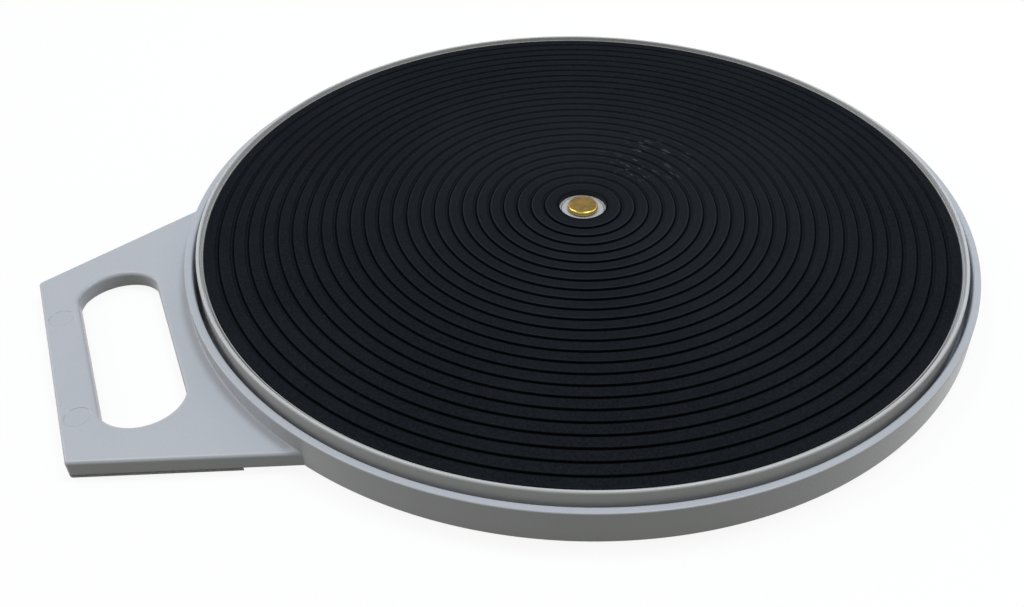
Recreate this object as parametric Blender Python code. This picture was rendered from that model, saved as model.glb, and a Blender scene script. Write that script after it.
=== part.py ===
"""A low hand-turned pottery turntable: a round grooved head that runs on a ring of balls in a
shallow tray, held down by a brass pin, with a carry handle moulded in one piece with the tray.

Metres, +Z up. The origin is on the spin axis, on the surface that the turntable stands on, and the
handle points along -X. Run it with: blender --background --python part.py
"""

import math

import bmesh
import bpy
from mathutils import Matrix, Vector

# ---- Facets ---------------------------------------------------------------------------------
SEGMENTS = 48  # sides of the tray, head, mat and cage
SMALL_SEGMENTS = 32  # sides of the pin, bush and washers
ROUND_STEPS = 3  # faces across a small rounded edge
GROOVE_STEPS = 4  # faces across a ball groove
POCKET_SIDES = 12  # sides of a ball's pocket
SHARP_ANGLE = math.radians(30)  # edges that turn by more than this stay sharp in shading
MERGE_DISTANCE = 1e-6  # joins the points that a full turn lays on each other

# ---- Clearances -----------------------------------------------------------------------------
SEAT_GAP = 0.0003  # between pieces that rest on or fit in each other
THROUGH = 0.002  # how far a cutter runs past what it cuts
OVERLAP = 0.001  # how far one shape sinks into another that it is moulded with

# ---- Non-slip pads --------------------------------------------------------------------------
PAD_THICKNESS = 0.0012
PAD_EDGE = 0.0004  # chamfer at a pad's lower edge, and its distance inside the handle's edge
PAD_MARGIN = 0.0185  # from the round pad's edge to the tray's
PAD_SPACING = 0.016  # bare strip between the round pad and the handle's

# ---- Tray -----------------------------------------------------------------------------------
BASE_RADIUS = 0.1905
RIM_HEIGHT = 0.0155
RIM_WIDTH = 0.0035
RIM_DRAFT = 0.0004  # how far each face of the rim leans, so that its foot is wider
RIM_ROUND = 0.0007  # rounding of the rim's two top edges
TRAY_FLOOR = 0.003
TRAY_CORNER = 0.003  # rounding between the tray's floor and its rim
BOSS_RADIUS = 0.015
BOSS_RISE = 0.004
BOSS_RECESS_RADIUS = 0.011  # well under the boss, for the clip and washer
BOSS_RECESS_DEPTH = 0.004

# ---- Handle ---------------------------------------------------------------------------------
HANDLE_LENGTH = 0.0592  # from the tray's edge to the handle's outer edge
HANDLE_END_WIDTH = 0.121
HANDLE_FLARE = math.radians(21.3)  # how much each side opens towards the tray
HANDLE_THICKNESS = 0.0069
HANDLE_CORNER = 0.002
HANDLE_ROUND = 0.0015
HANDLE_CORNER_STEPS = 4
HANDLE_ROOT_STEPS = 12
SLOT_LENGTH = 0.1036
SLOT_WIDTH = 0.0338
SLOT_END_EASE = 0.0009  # radius of the slot's ends over half its width, so they are a little flat
SLOT_ROUND = 0.0014
SLOT_END_STEPS = 10
GRIP_WIDTH = 0.0151  # bar between the slot and the handle's outer edge

# ---- Ball race ------------------------------------------------------------------------------
BALL_COUNT = 16
BALL_DIAMETER = 0.00635
RACE_RADIUS = 0.11
RACE_PLAY = 0.0002  # between a ball and the bottom of its groove
GROOVE_EASE = 0.0004  # how much rounder a groove is than its ball
TRACK_WALL = 0.003  # flat beside a groove
TRACK_RISE = 0.0037  # lower track above the tray's floor
TRACK_GAP = 0.0028  # between the two tracks
TRACK_DROP = 0.00345  # upper track below the head's plate
CAGE_THICKNESS = 0.0016
CAGE_WIDTH = 0.012
POCKET_PLAY = 0.0003

# ---- Turning head ---------------------------------------------------------------------------
HEAD_PLATE = 0.003
EDGE_GAP = 0.0024  # running gap between the head and the tray's rim
BEAD_WIDTH = 0.0016  # rounded lip round the mat
BEAD_RISE = 0.00175  # lip above the mat
BEAD_ROUND = 0.0006
MOAT_WIDTH = 0.0008  # narrow channel inside the lip
MOAT_DEPTH = 0.0009
RIDGE_WIDTH = 0.0006  # thin rib that the mat's edge lies against
SKIRT_DEPTH = 0.0045  # head's edge below its plate
SKIRT_WALL = 0.0022
SKIRT_DRAFT = 0.0005
HUB_RADIUS = 0.0115

# ---- Mat ------------------------------------------------------------------------------------
MAT_THICKNESS = 0.002
MAT_HOLE_RADIUS = 0.0116
GROOVE_PITCH = 0.00676
GROOVE_WIDTH = 0.0018
GROOVE_DEPTH = 0.0009
EDGE_LAND = 0.0062  # flat ring outside the last groove
HOLE_LAND = 0.0066  # least flat ring between the hole and the first groove

# ---- Ribs -----------------------------------------------------------------------------------
RIB_COUNT = 8
RIB_THICKNESS = 0.0018
TRAY_RIB_RISE = 0.002
HEAD_RIB_DROP = 0.0025

# ---- Pivot ----------------------------------------------------------------------------------
PIN_RADIUS = 0.004
PIN_HEAD_RADIUS = 0.0075
PIN_HEAD_HEIGHT = 0.00235
PIN_HEAD_ROUND = 0.0008
PIN_TIP = 0.0012  # pin below its clip's groove
PIN_CHAMFER = 0.0005
WASHER_RADIUS = 0.0105
WASHER_THICKNESS = 0.0008
BUSH_WALL = 0.0022
BUSH_FLANGE_RADIUS = 0.009
BUSH_FLANGE = 0.001
LOWER_WASHER_RADIUS = 0.009
CLIP_THICKNESS = 0.0008
CLIP_BITE = 0.0007  # how far the clip reaches into the pin
CLIP_WIDTH = 0.0032
CLIP_MOUTH = math.radians(70)
CLIP_STEPS = 18

# ---- Heights and radii that follow from the sizes above ---------------------------------------
TRAY_BOTTOM = PAD_THICKNESS + SEAT_GAP
TRAY_FLOOR_TOP = TRAY_BOTTOM + TRAY_FLOOR
RIM_TOP = TRAY_BOTTOM + RIM_HEIGHT
RIM_RADIUS = BASE_RADIUS - RIM_DRAFT
RIM_INNER_RADIUS = RIM_RADIUS - RIM_WIDTH
BOSS_TOP = TRAY_FLOOR_TOP + BOSS_RISE
WELL_TOP = TRAY_BOTTOM + BOSS_RECESS_DEPTH
HANDLE_TOP = TRAY_BOTTOM + HANDLE_THICKNESS
HANDLE_REACH = BASE_RADIUS + HANDLE_LENGTH  # from the spin axis to the handle's outer edge
SLOT_CENTRE_X = GRIP_WIDTH + SLOT_WIDTH / 2 - HANDLE_REACH
SLOT_END_RADIUS = SLOT_WIDTH / 2 + SLOT_END_EASE
BASE_PAD_RADIUS = BASE_RADIUS - PAD_MARGIN
HANDLE_PAD_LENGTH = HANDLE_REACH - BASE_PAD_RADIUS - PAD_SPACING

BALL_RADIUS = BALL_DIAMETER / 2
LOWER_TRACK_TOP = TRAY_FLOOR_TOP + TRACK_RISE
UPPER_TRACK_BOTTOM = LOWER_TRACK_TOP + TRACK_GAP
BALL_HEIGHT = (LOWER_TRACK_TOP + UPPER_TRACK_BOTTOM) / 2
BALL_GROOVE_RADIUS = BALL_RADIUS + GROOVE_EASE

HEAD_UNDERSIDE = UPPER_TRACK_BOTTOM + TRACK_DROP
HEAD_FLOOR = HEAD_UNDERSIDE + HEAD_PLATE
MAT_BOTTOM = HEAD_FLOOR + SEAT_GAP
MAT_TOP = MAT_BOTTOM + MAT_THICKNESS
BEAD_TOP = MAT_TOP + BEAD_RISE
HEAD_RADIUS = RIM_INNER_RADIUS - EDGE_GAP
BEAD_INNER_RADIUS = HEAD_RADIUS - BEAD_WIDTH
RIDGE_OUTER_RADIUS = BEAD_INNER_RADIUS - MOAT_WIDTH
RIDGE_INNER_RADIUS = RIDGE_OUTER_RADIUS - RIDGE_WIDTH
MAT_RADIUS = RIDGE_INNER_RADIUS - SEAT_GAP
SKIRT_BOTTOM = HEAD_UNDERSIDE - SKIRT_DEPTH
SKIRT_RADIUS = HEAD_RADIUS + SKIRT_DRAFT

RUN_RADIUS = PIN_RADIUS + SEAT_GAP  # every hole that the pin passes through
BUSH_RADIUS = RUN_RADIUS + BUSH_WALL
FLANGE_BOTTOM = BOSS_TOP + SEAT_GAP
HUB_BOTTOM = FLANGE_BOTTOM + BUSH_FLANGE + SEAT_GAP
WASHER_RECESS_RADIUS = WASHER_RADIUS + SEAT_GAP
WASHER_BOTTOM = HEAD_FLOOR - WASHER_THICKNESS
WASHER_RECESS_FLOOR = WASHER_BOTTOM - SEAT_GAP
PIN_HEAD_BOTTOM = HEAD_FLOOR + SEAT_GAP
PIN_HEAD_TOP = PIN_HEAD_BOTTOM + PIN_HEAD_HEIGHT
LOWER_WASHER_BOTTOM = WELL_TOP - SEAT_GAP - WASHER_THICKNESS
CLIP_BOTTOM = LOWER_WASHER_BOTTOM - SEAT_GAP - CLIP_THICKNESS
CLIP_GROOVE_TOP = LOWER_WASHER_BOTTOM
CLIP_GROOVE_BOTTOM = CLIP_BOTTOM - SEAT_GAP
PIN_BOTTOM = CLIP_GROOVE_BOTTOM - PIN_TIP
CLIP_INNER_RADIUS = PIN_RADIUS - CLIP_BITE
CLIP_GROOVE_RADIUS = CLIP_INNER_RADIUS - SEAT_GAP
CLIP_RADIUS = CLIP_INNER_RADIUS + CLIP_WIDTH


# ---- Building blocks --------------------------------------------------------------------------
def clear_scene():
    """Removes what a new Blender file opens with."""
    for thing in list(bpy.data.objects):
        bpy.data.objects.remove(thing, do_unlink=True)


def finish_of(name, colour, roughness, metallic=0.0):
    """One Principled finish; the colour is linear RGB."""
    finish = bpy.data.materials.new(name)
    finish.use_nodes = True
    shader = finish.node_tree.nodes["Principled BSDF"]
    shader.inputs["Base Color"].default_value = (*colour, 1.0)
    shader.inputs["Roughness"].default_value = roughness
    shader.inputs["Metallic"].default_value = metallic
    finish.diffuse_color = (*colour, 1.0)
    return finish


def add_object(name, shape):
    """Puts a bmesh into a new object, with smooth faces and sharp corners."""
    bmesh.ops.recalc_face_normals(shape, faces=shape.faces)
    mesh = bpy.data.meshes.new(name)
    shape.to_mesh(mesh)
    shape.free()
    mesh.shade_smooth()
    mesh.set_sharp_from_angle(angle=SHARP_ANGLE)
    piece = bpy.data.objects.new(name, mesh)
    bpy.context.scene.collection.objects.link(piece)
    return piece


def form(piece):
    """Marks an object as a form that only shapes others: it isn't a piece of the turntable."""
    piece.hide_render = True
    piece.display_type = "WIRE"
    return piece


def boolean(piece, other, operation):
    """Joins another form to a piece, or cuts it out, with a live modifier."""
    modifier = piece.modifiers.new(f"{operation.lower()}_{other.name}", "BOOLEAN")
    modifier.operation = operation
    modifier.solver = "EXACT"
    modifier.object = other


def arc(centre, radius, start, end, steps):
    """Points along an arc, ends included; the angles are in degrees."""
    turns = [math.radians(start + (end - start) * step / steps) for step in range(steps + 1)]
    return [(centre[0] + radius * math.cos(turn), centre[1] + radius * math.sin(turn)) for turn in turns]


def revolve(name, profile, segments=SEGMENTS):
    """Turns a (radius, height) outline once round Z. An outline that starts and ends on the axis
    stays open there, and any other is closed."""
    shape = bmesh.new()
    points = [shape.verts.new((radius, 0, height)) for radius, height in profile]
    ends_on_axis = profile[0][0] == 0 and profile[-1][0] == 0
    following = points[1:] if ends_on_axis else points[1:] + points[:1]
    edges = [shape.edges.new(pair) for pair in zip(points, following)]
    bmesh.ops.spin(
        shape,
        geom=points + edges,
        cent=(0, 0, 0),
        axis=(0, 0, 1),
        angle=math.tau,
        steps=segments,
        use_merge=True,
    )
    bmesh.ops.remove_doubles(shape, verts=shape.verts, dist=MERGE_DISTANCE)
    return add_object(name, shape)


def loft(name, rings):
    """Skins a stack of rings with the same number of points, and closes both ends."""
    shape = bmesh.new()
    levels = [[shape.verts.new(point) for point in ring] for ring in rings]
    for lower, upper in zip(levels, levels[1:]):
        for first in range(len(lower)):
            second = (first + 1) % len(lower)
            shape.faces.new((lower[first], lower[second], upper[second], upper[first]))
    shape.faces.new(levels[0])
    shape.faces.new(levels[-1])
    return add_object(name, shape)


def radial_ribs(name, spans, bottom, top):
    """Straight upright ribs, RIB_COUNT to a turn, over each (inner, outer) span of radius."""
    shape = bmesh.new()
    for number in range(RIB_COUNT):
        turn = Matrix.Rotation(math.tau * (number + 0.5) / RIB_COUNT, 4, "Z")
        for inner, outer in spans:
            place = Matrix.Translation(((inner + outer) / 2, 0, (bottom + top) / 2))
            size = Matrix.Diagonal((outer - inner, RIB_THICKNESS, top - bottom, 1))
            bmesh.ops.create_cube(shape, size=1, matrix=turn @ place @ size)
    return form(add_object(name, shape))


# ---- Ball race --------------------------------------------------------------------------------
def groove_half_width():
    """Half the width of a ball groove where it opens into the face of its track."""
    below_centre = BALL_GROOVE_RADIUS - (BALL_RADIUS + RACE_PLAY - TRACK_GAP / 2)
    return math.sqrt(BALL_GROOVE_RADIUS**2 - below_centre**2)


TRACK_HALF_WIDTH = groove_half_width() + TRACK_WALL
TRACK_INNER_RADIUS = RACE_RADIUS - TRACK_HALF_WIDTH
TRACK_OUTER_RADIUS = RACE_RADIUS + TRACK_HALF_WIDTH


def ball_groove(side):
    """Outline of a groove from its outer to its inner edge: side is -1 below the balls, +1 above."""
    depth = BALL_RADIUS + RACE_PLAY
    centre = BALL_HEIGHT + side * (depth - BALL_GROOVE_RADIUS)
    half_angle = math.degrees(math.asin(groove_half_width() / BALL_GROOVE_RADIUS))
    middle = 90 * side
    return arc(
        (RACE_RADIUS, centre),
        BALL_GROOVE_RADIUS,
        middle - side * half_angle,
        middle + side * half_angle,
        GROOVE_STEPS,
    )


def make_cage(plastic):
    """Flat ring with a round pocket for each ball."""
    inner = RACE_RADIUS - CAGE_WIDTH / 2
    outer = RACE_RADIUS + CAGE_WIDTH / 2
    bottom = BALL_HEIGHT - CAGE_THICKNESS / 2
    top = BALL_HEIGHT + CAGE_THICKNESS / 2
    cage = revolve("ball_cage", [(inner, bottom), (outer, bottom), (outer, top), (inner, top)])
    pockets = bmesh.new()
    pocket_radius = (BALL_RADIUS + POCKET_PLAY) / math.cos(math.pi / POCKET_SIDES)
    for place in ball_places():
        bmesh.ops.create_cone(
            pockets,
            cap_ends=True,
            segments=POCKET_SIDES,
            radius1=pocket_radius,
            radius2=pocket_radius,
            depth=CAGE_THICKNESS + 2 * THROUGH,
            matrix=Matrix.Translation(place),
        )
    boolean(cage, form(add_object("pocket_cutters", pockets)), "DIFFERENCE")
    cage.data.materials.append(plastic)
    return cage


def ball_places():
    """Centres of the balls, evenly spaced round the race."""
    first = Vector((RACE_RADIUS, 0, BALL_HEIGHT))
    turns = [Matrix.Rotation(math.tau * number / BALL_COUNT, 3, "Z") for number in range(BALL_COUNT)]
    return [turn @ first for turn in turns]


def make_balls(steel):
    """One object per ball; they share a mesh."""
    shape = bmesh.new()
    bmesh.ops.create_icosphere(shape, subdivisions=2, radius=BALL_RADIUS)
    first = add_object("race_ball_01", shape)
    first.data.shade_smooth()
    first.data.materials.append(steel)
    balls = [first]
    for number in range(2, BALL_COUNT + 1):
        ball = bpy.data.objects.new(f"race_ball_{number:02d}", first.data)
        bpy.context.scene.collection.objects.link(ball)
        balls.append(ball)
    for ball, place in zip(balls, ball_places()):
        ball.location = place
    return balls


# ---- Tray and handle --------------------------------------------------------------------------
def tray_profile():
    """Half section of the tray, from the pin's hole down, outwards and back over the top."""
    wall_foot = RIM_INNER_RADIUS - RIM_DRAFT
    return [
        (RUN_RADIUS, BOSS_TOP),
        (RUN_RADIUS, WELL_TOP),
        (BOSS_RECESS_RADIUS, WELL_TOP),
        (BOSS_RECESS_RADIUS, TRAY_BOTTOM),
        (BASE_RADIUS, TRAY_BOTTOM),
        *arc((RIM_RADIUS - RIM_ROUND, RIM_TOP - RIM_ROUND), RIM_ROUND, 0, 90, ROUND_STEPS),
        *arc((RIM_INNER_RADIUS + RIM_ROUND, RIM_TOP - RIM_ROUND), RIM_ROUND, 90, 180, ROUND_STEPS),
        *arc((wall_foot - TRAY_CORNER, TRAY_FLOOR_TOP + TRAY_CORNER), TRAY_CORNER, 0, -90, ROUND_STEPS),
        (TRACK_OUTER_RADIUS, TRAY_FLOOR_TOP),
        (TRACK_OUTER_RADIUS, LOWER_TRACK_TOP),
        *ball_groove(-1),
        (TRACK_INNER_RADIUS, LOWER_TRACK_TOP),
        (TRACK_INNER_RADIUS, TRAY_FLOOR_TOP),
        (BOSS_RADIUS, TRAY_FLOOR_TOP),
        (BOSS_RADIUS, BOSS_TOP),
    ]


def handle_corner(inset):
    """Rounded corner of the handle at +Y, from its outer edge to its side, moved inwards by inset."""
    flare = math.degrees(HANDLE_FLARE)
    drop = HANDLE_CORNER * (1 - math.sin(HANDLE_FLARE)) / math.cos(HANDLE_FLARE)
    centre = (HANDLE_CORNER - HANDLE_REACH, HANDLE_END_WIDTH / 2 - drop)
    return arc(centre, HANDLE_CORNER - inset, 180, 90 + flare, HANDLE_CORNER_STEPS)


def handle_side(inset, root_radius):
    """Point where the handle's side at +Y, moved inwards by inset, meets its root's circle."""
    start = Vector((-HANDLE_REACH, HANDLE_END_WIDTH / 2))
    start += Vector((math.sin(HANDLE_FLARE), -math.cos(HANDLE_FLARE))) * inset
    along = Vector((math.cos(HANDLE_FLARE), math.sin(HANDLE_FLARE)))
    run = start.dot(along)
    distance = -run - math.sqrt(run * run - start.length_squared + root_radius**2)
    return start + along * distance


def mirrored(points):
    """The same outline on the -Y side, in the order that carries on round."""
    return [(x, -y) for x, y in reversed(points)]


def handle_outline(inset, root_radius):
    """Plan of the handle, inset all round but at its root, which follows a circle about the axis."""
    end = handle_side(inset, root_radius)
    turn = math.degrees(math.atan2(end.y, end.x))
    root = arc((0, 0), root_radius, turn, 360 - turn, HANDLE_ROOT_STEPS)
    return handle_corner(inset) + root + mirrored(handle_corner(inset))


def rounded_top(outline, bottom, top, radius, direction):
    """Rings of a prism whose top edge is rounded: direction +1 draws the outline in, -1 lets it out."""
    rings = [[(x, y, bottom) for x, y in outline(0)]]
    for step in range(ROUND_STEPS + 1):
        turn = math.pi / 2 * step / ROUND_STEPS
        height = top - radius + radius * math.sin(turn)
        shift = direction * radius * (1 - math.cos(turn))
        rings.append([(x, y, height) for x, y in outline(shift)])
    return rings


def slot_outline(inset):
    """Plan of the hand slot: two straight sides and two slightly flattened round ends."""
    half_width = SLOT_WIDTH / 2 - inset
    radius = SLOT_END_RADIUS - inset
    reach = SLOT_LENGTH / 2 - SLOT_END_RADIUS
    half_angle = math.degrees(math.asin(half_width / radius))
    far = arc((SLOT_CENTRE_X, reach), radius, 90 - half_angle, 90 + half_angle, SLOT_END_STEPS)
    near = arc((SLOT_CENTRE_X, -reach), radius, 270 - half_angle, 270 + half_angle, SLOT_END_STEPS)
    return far + near


def make_slot_cutter():
    """Cutter of the hand slot, which opens out in a small round at the handle's top."""
    rings = rounded_top(slot_outline, -THROUGH, HANDLE_TOP, SLOT_ROUND, -1)
    rings.append([(x, y, HANDLE_TOP + THROUGH) for x, y in slot_outline(-SLOT_ROUND)])
    return form(loft("hand_slot_cutter", rings))


def make_tray(slot_cutter, plastic):
    """Round tray with its ball track, pin boss, ribs and handle, in one moulding."""
    tray = revolve("base_tray", tray_profile())
    root_radius = RIM_RADIUS - RIM_WIDTH / 2

    def outline(inset):
        return handle_outline(inset, root_radius)

    rings = rounded_top(outline, TRAY_BOTTOM, HANDLE_TOP, HANDLE_ROUND, 1)
    boolean(tray, form(loft("handle_form", rings)), "UNION")
    spans = [
        (BOSS_RADIUS - OVERLAP, TRACK_INNER_RADIUS + OVERLAP),
        (TRACK_OUTER_RADIUS - OVERLAP, RIM_INNER_RADIUS + OVERLAP),
    ]
    ribs = radial_ribs("tray_rib_form", spans, TRAY_FLOOR_TOP - OVERLAP, TRAY_FLOOR_TOP + TRAY_RIB_RISE)
    boolean(tray, ribs, "UNION")
    boolean(tray, slot_cutter, "DIFFERENCE")
    tray.data.materials.append(plastic)
    return tray


# ---- Turning head and mat ---------------------------------------------------------------------
def head_profile():
    """Half section of the head, from the bush's hole up, outwards over the lip and back below."""
    rise = BEAD_TOP - BEAD_ROUND
    return [
        (BUSH_RADIUS + SEAT_GAP, HUB_BOTTOM),
        (BUSH_RADIUS + SEAT_GAP, WASHER_RECESS_FLOOR),
        (WASHER_RECESS_RADIUS, WASHER_RECESS_FLOOR),
        (WASHER_RECESS_RADIUS, HEAD_FLOOR),
        (RIDGE_INNER_RADIUS, HEAD_FLOOR),
        (RIDGE_INNER_RADIUS, MAT_TOP),
        (RIDGE_OUTER_RADIUS, MAT_TOP),
        (RIDGE_OUTER_RADIUS, MAT_TOP - MOAT_DEPTH),
        (BEAD_INNER_RADIUS, MAT_TOP - MOAT_DEPTH),
        *arc((BEAD_INNER_RADIUS + BEAD_ROUND, rise), BEAD_ROUND, 180, 90, ROUND_STEPS - 1),
        *arc((HEAD_RADIUS - BEAD_ROUND, rise), BEAD_ROUND, 90, 0, ROUND_STEPS - 1),
        (SKIRT_RADIUS, SKIRT_BOTTOM),
        (SKIRT_RADIUS - SKIRT_WALL, SKIRT_BOTTOM),
        (SKIRT_RADIUS - SKIRT_WALL, HEAD_UNDERSIDE),
        (TRACK_OUTER_RADIUS, HEAD_UNDERSIDE),
        (TRACK_OUTER_RADIUS, UPPER_TRACK_BOTTOM),
        *ball_groove(1),
        (TRACK_INNER_RADIUS, UPPER_TRACK_BOTTOM),
        (TRACK_INNER_RADIUS, HEAD_UNDERSIDE),
        (HUB_RADIUS, HEAD_UNDERSIDE),
        (HUB_RADIUS, HUB_BOTTOM),
    ]


def make_head(plastic):
    """Turning head: plate, lip, skirt, hub, upper ball track and the ribs below."""
    head = revolve("turntable_head", head_profile())
    spans = [
        (HUB_RADIUS - OVERLAP, TRACK_INNER_RADIUS + OVERLAP),
        (TRACK_OUTER_RADIUS - OVERLAP, SKIRT_RADIUS - SKIRT_WALL + OVERLAP),
    ]
    ribs = radial_ribs("head_rib_form", spans, HEAD_UNDERSIDE - HEAD_RIB_DROP, HEAD_UNDERSIDE + OVERLAP)
    boolean(head, ribs, "UNION")
    head.data.materials.append(plastic)
    return head


def groove_radii():
    """Centre radii of the mat's grooves, a pitch apart, from the rim inwards as far as they fit."""
    outermost = MAT_RADIUS - EDGE_LAND
    room = outermost - MAT_HOLE_RADIUS - HOLE_LAND
    count = int(room / GROOVE_PITCH) + 1
    return [outermost - GROOVE_PITCH * number for number in reversed(range(count))]


def make_mat(rubber):
    """Rubber mat with narrow V grooves in rings round its hole."""
    surface = [(MAT_HOLE_RADIUS, MAT_BOTTOM), (MAT_HOLE_RADIUS, MAT_TOP)]
    for radius in groove_radii():
        surface.append((radius - GROOVE_WIDTH / 2, MAT_TOP))
        surface.append((radius, MAT_TOP - GROOVE_DEPTH))
        surface.append((radius + GROOVE_WIDTH / 2, MAT_TOP))
    surface += [(MAT_RADIUS, MAT_TOP), (MAT_RADIUS, MAT_BOTTOM)]
    mat = revolve("ribbed_mat", surface)
    mat.data.materials.append(rubber)
    return mat


# ---- Pivot ------------------------------------------------------------------------------------
def make_pin(brass):
    """Brass pivot pin: a low round head, a plain shank and a groove for its clip."""
    head_edge = (PIN_HEAD_RADIUS - PIN_HEAD_ROUND, PIN_HEAD_TOP - PIN_HEAD_ROUND)
    profile = [
        (0, PIN_BOTTOM),
        (PIN_RADIUS - PIN_CHAMFER, PIN_BOTTOM),
        (PIN_RADIUS, PIN_BOTTOM + PIN_CHAMFER),
        (PIN_RADIUS, CLIP_GROOVE_BOTTOM),
        (CLIP_GROOVE_RADIUS, CLIP_GROOVE_BOTTOM),
        (CLIP_GROOVE_RADIUS, CLIP_GROOVE_TOP),
        (PIN_RADIUS, CLIP_GROOVE_TOP),
        (PIN_RADIUS, PIN_HEAD_BOTTOM),
        (PIN_HEAD_RADIUS, PIN_HEAD_BOTTOM),
        *arc(head_edge, PIN_HEAD_ROUND, 0, 90, ROUND_STEPS),
        (0, PIN_HEAD_TOP),
    ]
    pin = revolve("pivot_pin", profile, SMALL_SEGMENTS)
    pin.data.materials.append(brass)
    return pin


def make_washer(name, outer, bottom, finish):
    """Flat washer round the pin."""
    top = bottom + WASHER_THICKNESS
    profile = [(RUN_RADIUS, bottom), (outer, bottom), (outer, top), (RUN_RADIUS, top)]
    washer = revolve(name, profile, SMALL_SEGMENTS)
    washer.data.materials.append(finish)
    return washer


def make_bush(plastic):
    """Bush between the head's hub and the pin, with a flange that runs on the tray's boss."""
    top = WASHER_BOTTOM - SEAT_GAP
    profile = [
        (RUN_RADIUS, FLANGE_BOTTOM),
        (BUSH_FLANGE_RADIUS, FLANGE_BOTTOM),
        (BUSH_FLANGE_RADIUS, FLANGE_BOTTOM + BUSH_FLANGE),
        (BUSH_RADIUS, FLANGE_BOTTOM + BUSH_FLANGE),
        (BUSH_RADIUS, top),
        (RUN_RADIUS, top),
    ]
    bush = revolve("hub_bush", profile, SMALL_SEGMENTS)
    bush.data.materials.append(plastic)
    return bush


def make_clip(steel):
    """Open spring clip in the pin's groove, with its mouth towards +X."""
    start = math.degrees(CLIP_MOUTH) / 2
    outside = arc((0, 0), CLIP_RADIUS, start, 360 - start, CLIP_STEPS)
    inside = arc((0, 0), CLIP_INNER_RADIUS, 360 - start, start, CLIP_STEPS)
    heights = (CLIP_BOTTOM, CLIP_BOTTOM + CLIP_THICKNESS)
    clip = loft("retaining_clip", [[(x, y, z) for x, y in outside + inside] for z in heights])
    clip.data.materials.append(steel)
    return clip


# ---- Pads -------------------------------------------------------------------------------------
def make_base_pad(foam):
    """Round non-slip pad under the tray, which also covers the pin's clip."""
    profile = [
        (0, 0),
        (BASE_PAD_RADIUS - PAD_EDGE, 0),
        (BASE_PAD_RADIUS, PAD_EDGE),
        (BASE_PAD_RADIUS, PAD_THICKNESS),
        (0, PAD_THICKNESS),
    ]
    pad = revolve("base_grip_pad", profile)
    pad.data.materials.append(foam)
    return pad


def make_handle_pad(slot_cutter, foam):
    """Non-slip pad under the handle's outer part, with the same slot and a straight inner end."""
    side_shift = PAD_EDGE / math.cos(HANDLE_FLARE)

    def ring(height, step_back):
        length = HANDLE_PAD_LENGTH - step_back
        half_width = HANDLE_END_WIDTH / 2 - side_shift + length * math.tan(HANDLE_FLARE)
        half = handle_corner(PAD_EDGE) + [(length - HANDLE_REACH, half_width)]
        return [(x, y, height) for x, y in half + mirrored(half)]

    pad = loft("handle_grip_pad", [ring(0, PAD_EDGE), ring(PAD_EDGE, 0), ring(PAD_THICKNESS, 0)])
    boolean(pad, slot_cutter, "DIFFERENCE")
    pad.data.materials.append(foam)
    return pad


# ---- Assembly ---------------------------------------------------------------------------------
def axis_empty(name, children):
    """Empty on the spin axis that carries the pieces of one body."""
    empty = bpy.data.objects.new(name, None)
    bpy.context.scene.collection.objects.link(empty)
    for child in children:
        child.parent = empty
    return empty


def main():
    clear_scene()
    plastic = finish_of("grey_plastic", (0.45, 0.47, 0.51), roughness=0.38)
    rubber = finish_of("black_rubber", (0.013, 0.016, 0.022), roughness=0.6)
    brass = finish_of("turned_brass", (0.62, 0.43, 0.16), roughness=0.28, metallic=1.0)
    steel = finish_of("bright_steel", (0.55, 0.56, 0.57), roughness=0.22, metallic=1.0)
    nylon = finish_of("white_nylon", (0.68, 0.69, 0.68), roughness=0.42)
    foam = finish_of("grey_foam", (0.24, 0.25, 0.26), roughness=0.85)

    slot_cutter = make_slot_cutter()
    fixed = [
        make_tray(slot_cutter, plastic),
        make_pin(brass),
        make_washer("lower_washer", LOWER_WASHER_RADIUS, LOWER_WASHER_BOTTOM, steel),
        make_clip(steel),
        make_base_pad(foam),
        make_handle_pad(slot_cutter, foam),
    ]
    head_washer = make_washer("head_washer", WASHER_RADIUS, WASHER_BOTTOM, nylon)
    turning = [make_head(plastic), make_mat(rubber), make_bush(nylon), head_washer]
    axis_empty("tray_frame", fixed)
    axis_empty("turntable_axis", turning)
    axis_empty("ball_ring_axis", [make_cage(nylon), *make_balls(steel)])


main()
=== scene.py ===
# %% [markdown]
# # A low pottery turntable and its finishes
#
# The turntable is a round grooved head that turns by hand in a shallow tray with a carry handle.
# Its construction is finished and packed already: here each visible surface is made again, fine
# enough to be looked at closely, and gets a finish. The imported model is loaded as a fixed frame,
# and every measure that it can give is read from it, so the looks always fit the construction.

# %% Load the fixed frame
import math

import bpy
import numpy as np
from mathutils import Matrix, Vector


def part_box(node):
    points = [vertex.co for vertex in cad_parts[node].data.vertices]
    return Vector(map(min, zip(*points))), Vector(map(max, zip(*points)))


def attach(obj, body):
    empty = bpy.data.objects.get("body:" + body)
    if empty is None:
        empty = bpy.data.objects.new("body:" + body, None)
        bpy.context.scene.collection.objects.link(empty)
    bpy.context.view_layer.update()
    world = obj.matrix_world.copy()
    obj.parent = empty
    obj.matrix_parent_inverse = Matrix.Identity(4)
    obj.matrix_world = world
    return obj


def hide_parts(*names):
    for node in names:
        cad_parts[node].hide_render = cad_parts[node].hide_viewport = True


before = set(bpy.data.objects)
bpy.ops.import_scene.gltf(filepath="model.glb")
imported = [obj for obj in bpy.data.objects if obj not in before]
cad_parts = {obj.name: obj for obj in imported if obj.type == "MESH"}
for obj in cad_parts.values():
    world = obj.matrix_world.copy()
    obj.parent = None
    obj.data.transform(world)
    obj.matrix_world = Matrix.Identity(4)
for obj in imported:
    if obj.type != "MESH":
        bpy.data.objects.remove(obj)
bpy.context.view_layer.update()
for leftover in ("Cube", "Light", "Camera"):
    if leftover in bpy.data.objects:
        bpy.data.objects.remove(bpy.data.objects[leftover], do_unlink=True)

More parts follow.
